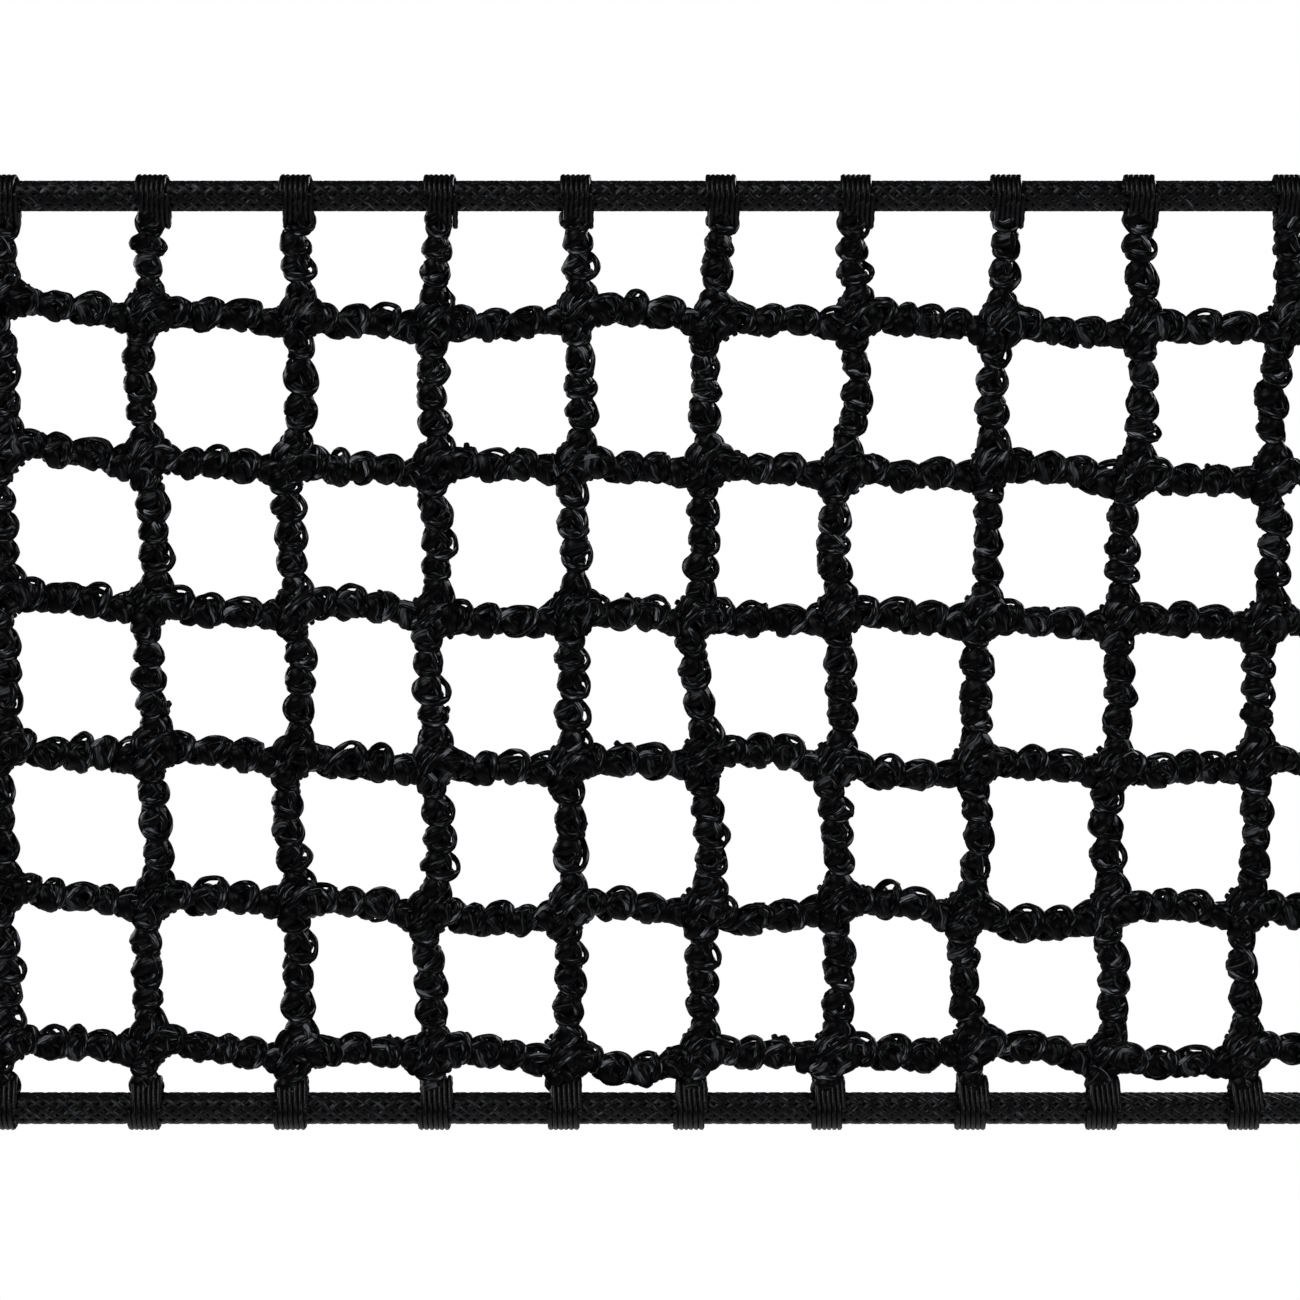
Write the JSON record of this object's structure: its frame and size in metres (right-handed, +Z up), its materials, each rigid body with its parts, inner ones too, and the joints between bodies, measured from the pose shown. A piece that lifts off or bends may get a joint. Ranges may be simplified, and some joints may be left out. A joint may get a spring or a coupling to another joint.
{
  "type": "cargo climbing net",
  "caption": "Panel of black knitted knotless climbing net with square meshes, lashed to a braided border rope with thimbled eyes at its corners.",
  "frame": {"origin": "centre of the top left eye's bore, which the net hangs from", "axes": "+Z up, +X to the right along the net's width, -Y out of the net's front; the net hangs in the XZ plane"},
  "size_m": [0.5055, 0.0152, 0.3581],
  "materials": {
    "knitted_cord": "knitted multifilament yarn, satin sheen on the filaments",
    "border_rope": "braided multifilament rope, satin sheen",
    "twine": "twisted bonded twine, slightly waxed",
    "thimble": "satin stainless steel"
  },
  "bodies": {
    "top_edge": {"border_rope_top": "border_rope", "border_rope_eye_top_left": "border_rope", "border_rope_eye_top_right": "border_rope", "lashing_top": "twine", "uprights_gap_1_upper": "knitted_cord", "thimble_top_left": "thimble", "thimble_top_right": "thimble", "seizing_top_left": "twine", "seizing_top_right": "twine"},
    "row_1": {"row_cord_1": "knitted_cord", "crossings_row_1": "knitted_cord", "uprights_gap_1_lower": "knitted_cord", "lashing_sides_1": "twine", "uprights_gap_2_upper": "knitted_cord", "border_rope_left_1": "border_rope", "border_rope_right_1": "border_rope"},
    "row_2": {"row_cord_2": "knitted_cord", "crossings_row_2": "knitted_cord", "uprights_gap_2_lower": "knitted_cord", "lashing_sides_2": "twine", "uprights_gap_3_upper": "knitted_cord", "border_rope_left_2": "border_rope", "border_rope_right_2": "border_rope"},
    "row_3": {"row_cord_3": "knitted_cord", "crossings_row_3": "knitted_cord", "uprights_gap_3_lower": "knitted_cord", "lashing_sides_3": "twine", "uprights_gap_4_upper": "knitted_cord", "border_rope_left_3": "border_rope", "border_rope_right_3": "border_rope"},
    "row_4": {"row_cord_4": "knitted_cord", "crossings_row_4": "knitted_cord", "uprights_gap_4_lower": "knitted_cord", "lashing_sides_4": "twine", "uprights_gap_5_upper": "knitted_cord", "border_rope_left_4": "border_rope", "border_rope_right_4": "border_rope"},
    "row_5": {"row_cord_5": "knitted_cord", "crossings_row_5": "knitted_cord", "uprights_gap_5_lower": "knitted_cord", "lashing_sides_5": "twine", "uprights_gap_6_upper": "knitted_cord", "border_rope_left_5": "border_rope", "border_rope_right_5": "border_rope"},
    "row_6": {"row_cord_6": "knitted_cord", "crossings_row_6": "knitted_cord", "uprights_gap_6_lower": "knitted_cord", "lashing_sides_6": "twine", "upright_tails_bottom": "knitted_cord", "border_rope_bottom": "border_rope", "border_rope_eye_bottom_left": "border_rope", "border_rope_eye_bottom_right": "border_rope", "lashing_bottom": "twine", "thimble_bottom_left": "thimble", "thimble_bottom_right": "thimble", "seizing_bottom_left": "twine", "seizing_bottom_right": "twine"}
  },
  "joints": [
    {"name": "fold_1", "type": "hinge", "parent": "top_edge", "child": "row_1", "pos_m": [0.23277, 0, -0.03627], "axis": [1, 0, 0], "range_deg": [-45, 45]},
    {"name": "fold_2", "type": "hinge", "parent": "row_1", "child": "row_2", "pos_m": [0.23277, 0, -0.07777], "axis": [1, 0, 0], "range_deg": [-45, 45]},
    {"name": "fold_3", "type": "hinge", "parent": "row_2", "child": "row_3", "pos_m": [0.23277, 0, -0.12387], "axis": [1, 0, 0], "range_deg": [-45, 45]},
    {"name": "fold_4", "type": "hinge", "parent": "row_3", "child": "row_4", "pos_m": [0.23277, 0, -0.16937], "axis": [1, 0, 0], "range_deg": [-45, 45]},
    {"name": "fold_5", "type": "hinge", "parent": "row_4", "child": "row_5", "pos_m": [0.23277, 0, -0.21547], "axis": [1, 0, 0], "range_deg": [-45, 45]},
    {"name": "fold_6", "type": "hinge", "parent": "row_5", "child": "row_6", "pos_m": [0.23277, 0, -0.26067], "axis": [1, 0, 0], "range_deg": [-45, 45]}
  ]
}
